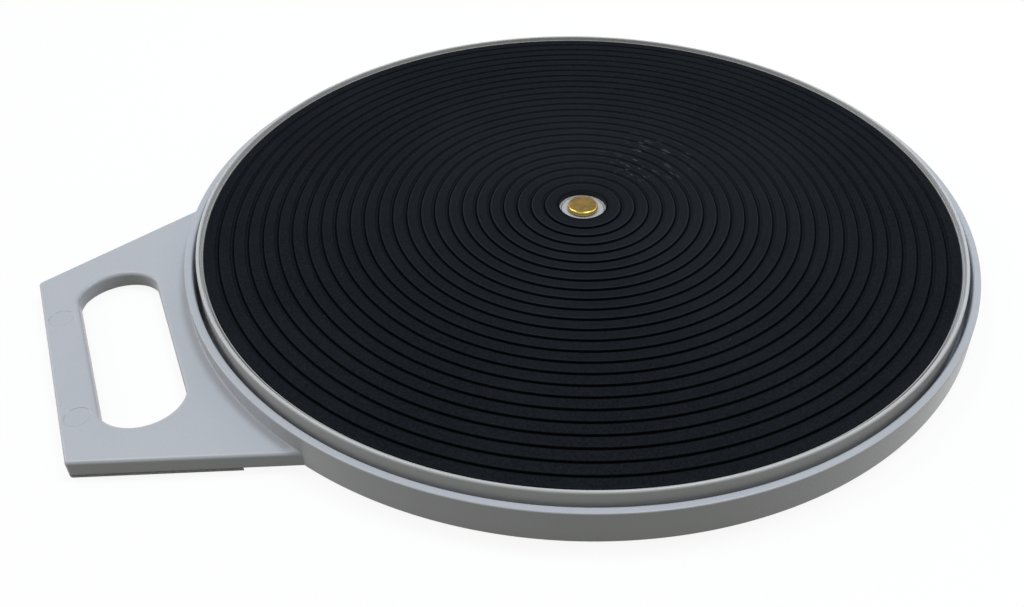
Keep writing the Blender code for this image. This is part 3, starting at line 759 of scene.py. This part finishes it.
# %% [markdown]
# ## Mat
#
# The mat is black moulded rubber with narrow grooves in rings. They grip wet clay or a bat, and
# help to centre a pot. A groove has a steep wall inside, a narrow floor, and a slope up to a low
# step at the outside, so it shows as a dark line with a faint second one beside it. One such
# section, repeated along the profile, makes all the grooves.

# %% The mat's profile
MAT_HOLE = 0.0116
GROOVE_PITCH = 0.00676
GROOVE_DEPTH = 0.0011
SHOULDER_ROUND = 0.0003
MAT_EDGE_ROUND = 0.0003
# One groove from inside to outside: each corner's place about the groove's radius, its share of
# the depth, and its rounding. A steep wall, a narrow floor, a slope, and a low step up to the land.
GROOVE_PROFILE = (
    (-0.0007, 0.0, SHOULDER_ROUND),
    (-0.0004, 1.0, 0),
    (-0.0001, 1.0, 0),
    (0.0011, 0.35, 0),
    (0.0014, 0.0, SHOULDER_ROUND),
)
EDGE_LAND = 0.0062  # from the last groove's middle to the mat's edge
GROOVE_COUNT = 24
MAT_TURNS = 300  # keeps the mat under 200,000 triangles
outermost = MAT_RADIUS - EDGE_LAND
groove_radii = outermost - GROOVE_PITCH * np.arange(GROOVE_COUNT)[::-1]


def groove_corners(radius):
    """The corners of one groove at a radius, inside to outside."""
    return [
        (radius + offset, MAT_TOP - share * GROOVE_DEPTH, rounding)
        for offset, share, rounding in GROOVE_PROFILE
    ]


mat_corners = [(MAT_HOLE, MAT_BOTTOM, 0), (MAT_HOLE, MAT_TOP, MAT_EDGE_ROUND)]
for groove_radius in groove_radii:
    mat_corners += groove_corners(groove_radius)
mat_corners += [(MAT_RADIUS, MAT_TOP, MAT_EDGE_ROUND), (MAT_RADIUS, MAT_BOTTOM, 0)]
mat_profile = rounded(mat_corners, steps=2)
print(len(mat_profile), "points in the mat's profile")
print(f"grooves from {1000 * groove_radii[0]:.1f} to {1000 * groove_radii[-1]:.1f} mm from the axis")

# %% [markdown]
# The rubber is nearly black with a cool cast, and dull from every side, so its specular level is
# very low. What gives it life is a fine moulded grain, faint tool marks from the turned mould, a
# paler middle, a painted highlight on each groove's inner edge, painted shade on each groove's
# floor and step, a little dust and one patch of scuffs. The grooves are rings, so the distance to
# the axis is enough to place these marks.

# %% The black rubber
RUBBER_BLACK = (0.0064, 0.0075, 0.0097)
RUBBER_WORN = (0.0146, 0.0168, 0.021)
RUBBER_DUSTY = (0.018, 0.0215, 0.026)
# Painted highlight colour for the edge inside each groove.
RUBBER_HIGHLIGHT = (0.032, 0.037, 0.047)
# Painted shade colour for the grooves' floors and outer steps.
GROOVE_SHADE = (0.0012, 0.0013, 0.0017)
DUST = (0.12, 0.13, 0.15)
RUBBER_GLOSS = 0.005
RUBBER_GRAIN_SCALE = 1100.0
RUBBER_GRAIN_HEIGHT = 0.00002
TOOL_MARK_PITCH = 0.00035
TOOL_MARK_HEIGHT = 0.0000035
MIDDLE_FADE = (0.02, 0.15)  # the paler middle ends between these radii
HIGHLIGHT_SHARE = 0.09  # of the pitch, inside each groove
SHADE_TAIL = 0.11  # share of the pitch over which a groove's painted shade fades outwards
SOFT_EDGE = 0.03  # share of the pitch over which the other marks fade
FLOOR_SHADE = 0.84
STEP_SHADE = 0.33


def groove_highlight_and_shade(finish, colour, reach, middle):
    """Colour with a painted highlight on the edge inside each groove, and painted shade on its floor
    and its outer step.

    phase is how far the point is along one pitch, as a share of it: 0.5 is a groove's middle.
    """
    phase = ((reach - groove_radii[0]) * (1 / GROOVE_PITCH) + 0.5).fraction()
    inner, floor_inner, floor_outer, ledge, outer = (
        0.5 + corner[0] / GROOVE_PITCH for corner in GROOVE_PROFILE
    )
    # Painted highlight: a lighter band on the edge inside each groove, stronger near the middle.
    painted_highlight = finish.step(phase, inner - HIGHLIGHT_SHARE, inner - SOFT_EDGE)
    painted_highlight = painted_highlight * (1 - finish.step(phase, inner - 0.01, inner))
    colour = finish.mix(painted_highlight * (0.12 + 0.6 * middle), colour, (*RUBBER_HIGHLIGHT, 1))
    # Painted shade: darker on each groove's floor and on its outer step.
    deep = finish.step(phase, inner, floor_inner)
    deep = deep * (1 - finish.step(phase, floor_outer, floor_outer + SHADE_TAIL))
    step_up = finish.step(phase, ledge - SOFT_EDGE, ledge)
    step_up = step_up * (1 - finish.step(phase, outer, outer + SOFT_EDGE))
    return finish.mix(FLOOR_SHADE * deep + STEP_SHADE * step_up, colour, (*GROOVE_SHADE, 1))


# %% Dust and scuffs on the rubber
DUST_SCALE = 170.0
DUST_STRENGTH = 0.45
SCUFFED_SPOT = (0.05, 0.024, MAT_TOP)
SCUFF_FADE = (0.008, 0.034)  # the scuffs end between these distances from their spot
SCUFF_STRENGTH = 0.7
SCUFF_LINES, SCUFF_RUNS = 1100.0, 6.0  # scale of the noise across and along the turn


def dust_and_scuffs(finish, reach):
    """Share of dust: specks in patches, and short arcs from a noise drawn out along the turn."""
    specks = 1 - finish.step(finish.cells(DUST_SCALE), 0.02, 0.06)
    dust = specks * finish.step(finish.noise(30.0), 0.5, 0.65)
    x, y, _ = finish.parts()
    sweep = finish.node("ShaderNodeMath", {"operation": "ARCTAN2"}, [y, x])
    drawn_out = finish.node("ShaderNodeCombineXYZ", {}, [reach * SCUFF_LINES, sweep * SCUFF_RUNS])
    arcs = finish.step(finish.noise(1.0, detail=1.0, where=drawn_out), 0.65, 0.71)
    scuffs = arcs * (1 - finish.step(finish.distance_to(SCUFFED_SPOT), *SCUFF_FADE))
    return DUST_STRENGTH * dust + SCUFF_STRENGTH * scuffs


# %% The rubber and the mat
def black_rubber():
    """Dull rubber with grain, ring-shaped tool marks and wear, and painted highlights and shade at its
    grooves.
    """
    finish = Finish("black_rubber", Specular_IOR_Level=RUBBER_GLOSS)
    clouds = finish.noise(14.0, detail=4.0, roughness=0.6)
    grain = finish.noise(RUBBER_GRAIN_SCALE, detail=3.0)
    reach = finish.axis_distance()
    wear = finish.step(clouds, 0.35, 0.75) * 0.3 + finish.step(grain, 0.3, 0.7) * 0.7
    colour = finish.mix(wear, (*RUBBER_BLACK, 1), (*RUBBER_WORN, 1))
    middle = 1 - finish.step(reach, *MIDDLE_FADE)
    colour = finish.mix(0.7 * middle * clouds, colour, (*RUBBER_DUSTY, 1))
    colour = groove_highlight_and_shade(finish, colour, reach, middle)
    finish.feed("Base Color", finish.mix(dust_and_scuffs(finish, reach), colour, (*DUST, 1)))
    finish.feed("Roughness", 0.5 + 0.1 * clouds + 0.08 * grain)
    normal = finish.bump(grain, RUBBER_GRAIN_HEIGHT)
    finish.feed("Normal", finish.bump(finish.rings(TOOL_MARK_PITCH), TOOL_MARK_HEIGHT, normal))
    return finish.material


rubber = black_rubber()
mat_surface = turned(mat_profile, MAT_TURNS)
make_piece("grooved_mat", mat_surface, rubber, "turntable", "black_rubber", "ribbed_mat")

# %% [markdown]
# ## Pivot pin and washer
#
# A brass pin holds the head down. Its low round head stands in the mat's hole, on a white plastic
# washer. Brass that was turned on a lathe has fine rings on its face, which soften its mirror,
# and a slightly browned, uneven tone. Cloths and fingers have rubbed its round edge bright.

# %% Turned brass
BRASS = (0.26, 0.17, 0.047)
BRASS_TARNISHED = (0.17, 0.105, 0.026)
BRASS_RUBBED = (0.5, 0.35, 0.09)
RUBBED_FROM, RUBBED_TO = 0.0009, 0.0004  # inwards from the head's edge
LATHE_RING_PITCH = 0.00022


def turned_brass():
    """Brass with lathe rings and faint tarnish, rubbed bright round its edge."""
    finish = Finish("turned_brass", Metallic=1.0)
    clouds = finish.noise(260.0, detail=4.0)
    colour = finish.mix(finish.step(clouds, 0.3, 0.75), (*BRASS, 1), (*BRASS_TARNISHED, 1))
    edge = finish.step(finish.axis_distance(), pin_high.x - RUBBED_FROM, pin_high.x - RUBBED_TO)
    finish.feed("Base Color", finish.mix(edge, colour, (*BRASS_RUBBED, 1)))
    finish.feed("Roughness", (0.2 + 0.14 * clouds) * (1 - 0.5 * edge))
    normal = finish.bump(finish.noise(1800.0), 0.00001)
    finish.feed("Normal", finish.bump(finish.rings(LATHE_RING_PITCH), 0.000003, normal))
    return finish.material


# %% The pin
PIN_RADIUS = 0.004
PIN_HEAD_ROUND = 0.0009
PIN_HEAD_CROWN = 0.0001  # how far the middle of the head's face stands above its edge
PIN_HEAD_GAP = 0.0003  # between the pin's head and the washer
CLIP_GROOVE = (0.0030, 0.0031, 0.0044)  # radius, bottom and top of the clip's groove
brass = turned_brass()
pin_head_bottom = HEAD_FLOOR + PIN_HEAD_GAP
clip_radius, clip_bottom, clip_top = CLIP_GROOVE
pin_corners = [
    (0, pin_low.z, 0),
    (PIN_RADIUS, pin_low.z, 0.0005),
    (PIN_RADIUS, clip_bottom, 0),
    (clip_radius, clip_bottom, 0),
    (clip_radius, clip_top, 0),
    (PIN_RADIUS, clip_top, 0),
    (PIN_RADIUS, pin_head_bottom, 0),
    (pin_high.x, pin_head_bottom, 0.0003),
    (pin_high.x, pin_high.z - PIN_HEAD_CROWN, PIN_HEAD_ROUND),
    (0, pin_high.z, 0),
]
pin_surface = turned(rounded(pin_corners, steps=8), SMALL_TURNS)
make_piece("brass_pin", pin_surface, brass, "tray", "turned_brass", "pivot_pin")

# %% [markdown]
# The washer keeps the pin's brass head off the head's plastic. Nylon is slippery, so it needs no
# oil. It is a little waxy, and rubs grey in rings, so its finish mixes two tones by such rings.

# %% White nylon and the washer
NYLON_WHITE = (0.5, 0.5, 0.53)
WASHER_TONE = 0.47  # brightness of the nylon where it is rubbed
CAGE_TONE = 0.55
RUB_RING_PITCH = 0.0016


def white_nylon(name, shade):
    """Slightly waxy white plastic, with faint rings where it rubs."""
    finish = Finish(name)
    clouds = finish.noise(220.0, detail=3.0)
    worn = finish.step(finish.rings(RUB_RING_PITCH), 0.1, 0.9) * 0.35 + 0.25 * clouds
    finish.feed("Base Color", finish.mix(worn, (*NYLON_WHITE, 1), grey(shade)))
    finish.feed("Roughness", 0.32 + 0.14 * clouds)
    finish.feed("Normal", finish.bump(finish.noise(1500.0), 0.00001))
    return finish.material


nylon = white_nylon("white_nylon", WASHER_TONE)
washer_corners = [
    (PIN_HOLE, washer_low.z, 0),
    (washer_high.x, washer_low.z, 0.0001),
    (washer_high.x, washer_high.z, 0.0002),
    (PIN_HOLE, washer_high.z, 0.0002),
]
washer_surface = turned(rounded(washer_corners), SMALL_TURNS)
make_piece("white_washer", washer_surface, nylon, "turntable", "white_nylon", "head_washer")

# %% [markdown]
# ## Pads
#
# Two thin pads of grey foam keep the turntable from sliding. The round one is turned. The one
# under the handle has the handle's own outline and slot, and ends in a straight edge, so the same
# band makes it from other rows.

# %% Grey foam
FOAM_GREY = (0.53, 0.55, 0.57)
FOAM_PORE = (0.4, 0.415, 0.43)
FOAM_CELL_SCALE = 900.0
FOAM_CELL_HEIGHT = 0.0001


def grey_foam():
    """Closed-cell foam: small cells with darker pores."""
    finish = Finish("grey_foam", Specular_IOR_Level=0.2)
    cells = finish.cells(FOAM_CELL_SCALE)
    clouds = finish.noise(40.0, detail=3.0)
    wall = finish.step(cells, 0.1, 0.7)
    finish.feed("Base Color", finish.mix(wall, (*FOAM_PORE, 1), (*FOAM_GREY, 1)))
    finish.feed("Roughness", 0.78 + 0.15 * clouds)
    finish.feed("Normal", finish.bump(cells, FOAM_CELL_HEIGHT))
    return finish.material


# %% The two pads
PAD_EDGE = 0.0004
PAD_SET_BACK = 0.0018  # the pad's slot is wider than the handle's, all round
foam = grey_foam()
base_pad_corners = [
    (0, base_pad_low.z, 0),
    (base_pad_high.x, base_pad_low.z, PAD_EDGE),
    (base_pad_high.x, base_pad_high.z, 0),
    (0, base_pad_high.z, 0),
]
make_piece("round_pad", turned(rounded(base_pad_corners)), foam, "tray", "grey_foam", "base_grip_pad")

pad_bottom, pad_top = handle_pad_low.z, handle_pad_high.z
pad_rows = [(0, PAD_SET_BACK, 0, pad_bottom), (0, PAD_SET_BACK, 0, pad_top)]
pad_rows += [(share, PAD_SET_BACK, 0, pad_top) for share in (0.5, 1)]
pad_rows += [(1, 0, inset, pad_bottom + drop) for inset, drop in quarter(PAD_EDGE)[::-1]]
pad_rows.append((0.5, PAD_SET_BACK, PAD_EDGE, pad_bottom))
handle_pad_surface = band(pad_rows, straight_root=handle_pad_high.x)
make_piece("handle_pad", handle_pad_surface, foam, "tray", "grey_foam", "handle_grip_pad")

# %% [markdown]
# ## Pieces inside
#
# The bush, the cage, the balls, the lower washer and the clip are out of sight in the closed
# turntable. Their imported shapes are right, so they stay, and only get their finishes: steel with
# faint grinding marks, and the nylon again.

# %% Bright steel and the inner pieces
STEEL_TINT = (0.97, 0.99, 1.0)


def bright_steel():
    """Ground steel: fine streaks in its roughness and tone."""
    finish = Finish("bright_steel", Metallic=1.0)
    streaks = finish.noise(900.0, detail=3.0)
    finish.feed("Base Color", finish.mix(streaks, grey(0.5, STEEL_TINT), grey(0.62, STEEL_TINT)))
    finish.feed("Roughness", 0.14 + 0.16 * streaks)
    finish.feed("Normal", finish.bump(streaks, 0.000004))
    return finish.material


steel = bright_steel()
cage_nylon = white_nylon("cage_nylon", CAGE_TONE)
inner_finishes = {
    "ball_cage": cage_nylon,
    "hub_bush": cage_nylon,
    "lower_washer": steel,
    "retaining_clip": steel,
}
for node_name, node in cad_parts.items():
    inner = inner_finishes.get(node_name) or (steel if node_name.startswith("race_ball") else None)
    if inner:
        node.material_slots[0].material = inner
print("kept as packed:", ", ".join(sorted(inner_finishes)), "and the balls")

# %% [markdown]
# ## Floor, light and camera
#
# The turntable lies on a plain pale floor that looks white to the camera and still shows a soft
# shadow: what is seen of it, straight, off a glossy face or through a clear one, is mostly a white
# glow mixed with a lit surface. For all other rays the floor is a quiet grey, so that it doesn't
# throw light up at the tray's wall.

# %% The floor
FLOOR_SIZE = 6.0
CAMERA_GLOW = 0.9  # share of plain white in what the camera sees of the floor
QUIET_FLOOR = 0.12
WHITE = 1.0


def plain_view(graph):
    """1 for a ray from the camera, off a glossy face or through a clear one, and 0 for any other."""
    straight = graph.node("ShaderNodeLightPath", {}, {}, "Is Camera Ray")
    glossy = straight.sibling("Is Glossy Ray")
    clear = straight.sibling("Is Transmission Ray")
    return straight.maximum(glossy).maximum(clear)


def floor_material():
    """White glow mixed with a lit surface where it is seen, and quiet grey for other rays."""
    material = bpy.data.materials.new("studio_floor")
    material.use_nodes = True
    graph = Graph(material.node_tree)
    graph.tree.nodes.clear()
    quiet = graph.node("ShaderNodeBsdfDiffuse", {}, {"Color": grey(QUIET_FLOOR)})
    lit = graph.node("ShaderNodeBsdfDiffuse", {}, {"Color": grey(WHITE)})
    glow = graph.node("ShaderNodeEmission", {}, {})
    seen = graph.node("ShaderNodeMixShader", {}, [CAMERA_GLOW, lit, glow])
    choice = graph.node("ShaderNodeMixShader", {}, [plain_view(graph), quiet, seen])
    graph.node("ShaderNodeOutputMaterial", {}, {"Surface": choice})
    return material


floor_mesh = bpy.data.meshes.new("floor")
floor_corners = FLOOR_SIZE / 2 * np.array([(-1, -1, 0), (1, -1, 0), (1, 1, 0), (-1, 1, 0)])
floor_mesh.from_pydata(floor_corners.tolist(), [], [(0, 1, 2, 3)])
floor_mesh.materials.append(floor_material())
floor = bpy.data.objects.new("floor", floor_mesh)
bpy.context.scene.collection.objects.link(floor)
print("floor:", FLOOR_SIZE, "m square")

# %% [markdown]
# The world sheds a low, warm light from all round, as the walls of a room do, which lifts the
# shadows. Seen straight, off a glossy face or through a clear one, it is plain white.

# %% The world
SKY_FILL = 0.33
SKY_COLOUR = (1.0, 0.985, 0.82, 1)
world = bpy.data.worlds.new("studio")
bpy.context.scene.world = world
world.use_nodes = True
sky = Graph(world.node_tree)
sky.tree.nodes.clear()
fill = sky.node("ShaderNodeBackground", {}, {"Color": SKY_COLOUR, "Strength": SKY_FILL})
backdrop = sky.node("ShaderNodeBackground", {}, {"Color": grey(WHITE)})
all_round = sky.node("ShaderNodeMixShader", {}, [plain_view(sky), fill, backdrop])
sky.node("ShaderNodeOutputWorld", {}, {"Surface": all_round})
print("fill light:", SKY_FILL)

# %% [markdown]
# Two lamps shine steeply from behind, left and right, and make the flat tops bright. Two wide
# ones stand lower at the sides and give the wall its falloff towards the front. The cool pair and
# the neutral pair together match daylight from a large window. A lamp's size sets how soft its
# shadows are.

# %% The lamps
CAMERA_AZIMUTH = math.radians(-27.1)  # where the camera stands, from the -Y axis round to -X
behind = np.array([-math.sin(CAMERA_AZIMUTH), math.cos(CAMERA_AZIMUTH), 0])
right = np.array([math.cos(CAMERA_AZIMUTH), math.sin(CAMERA_AZIMUTH), 0])


def add_lamp(name, place, size, power, colour):
    """Square area lamp that points at the turntable's middle."""
    lamp = bpy.data.lights.new(name, "AREA")
    lamp.shape = "SQUARE"
    lamp.size = size
    lamp.energy = power
    lamp.color = colour
    holder = bpy.data.objects.new(name, lamp)
    bpy.context.scene.collection.objects.link(holder)
    aim = (-Vector(place)).to_track_quat("-Z", "Y")
    holder.matrix_world = Matrix.Translation(place) @ aim.to_matrix().to_4x4()
    print(f"{name}: {power} W, {size} m wide")


def round_the_camera(turn, height, distance):
    """Place at an angle from the camera's side, in degrees anticlockwise, and a height angle."""
    turn, height = math.radians(turn), math.radians(height)
    flat = -behind * math.cos(turn) + right * math.sin(turn)
    return distance * (flat * math.cos(height) + np.array([0, 0, math.sin(height)]))


COOL = (0.8, 0.88, 1.0)
NEUTRAL = (1.0, 0.94, 0.98)
for name, turn, height, distance, size, power, colour in (
    ("left_high", -125, 60, 4.5, 1.35, 48.0, COOL),
    ("right_high", 125, 74, 1.3, 0.4, 7.0, COOL),
    ("left_side", -100, 22, 4.5, 2.4, 52.0, NEUTRAL),
    ("right_side", 100, 35, 1.5, 0.8, 3.2, NEUTRAL),
):
    add_lamp(name, round_the_camera(turn, height, distance), size, power, colour)

# %% [markdown]
# The camera stands about half a metre away and looks down at the turntable from the front left.
# Its place is given round the mat's middle, and three small turns after that aim it.

# %% The camera
CAMERA_DISTANCE = 0.51595
CAMERA_ELEVATION = math.radians(34.478)
CAMERA_PAN = math.radians(-0.802)
CAMERA_TILT = math.radians(5.728)
CAMERA_ROLL = math.radians(-1.728)
camera_data = bpy.data.cameras.new("camera")
camera_data.sensor_width = 36
camera_data.lens = 36.448
camera_data.shift_x = -0.05186
camera_data.shift_y = 0.0045
camera_data.clip_start = 0.01
camera = bpy.data.objects.new("camera", camera_data)
bpy.context.scene.collection.objects.link(camera)
circle = Matrix.Rotation(CAMERA_AZIMUTH, 4, "Z")
circle = circle @ Matrix.Rotation(math.pi / 2 - CAMERA_ELEVATION, 4, "X")
aim = (
    Matrix.Rotation(CAMERA_ROLL, 4, "Z")
    @ Matrix.Rotation(CAMERA_TILT, 4, "X")
    @ Matrix.Rotation(CAMERA_PAN, 4, "Y")
)
middle = Matrix.Translation((0, 0, MAT_TOP))
camera.matrix_world = middle @ circle @ Matrix.Translation((0, 0, CAMERA_DISTANCE)) @ aim.inverted()
bpy.context.scene.camera = camera
bpy.context.scene.view_settings.view_transform = "Standard"
print("camera at", [round(x, 4) for x in camera.matrix_world.translation])
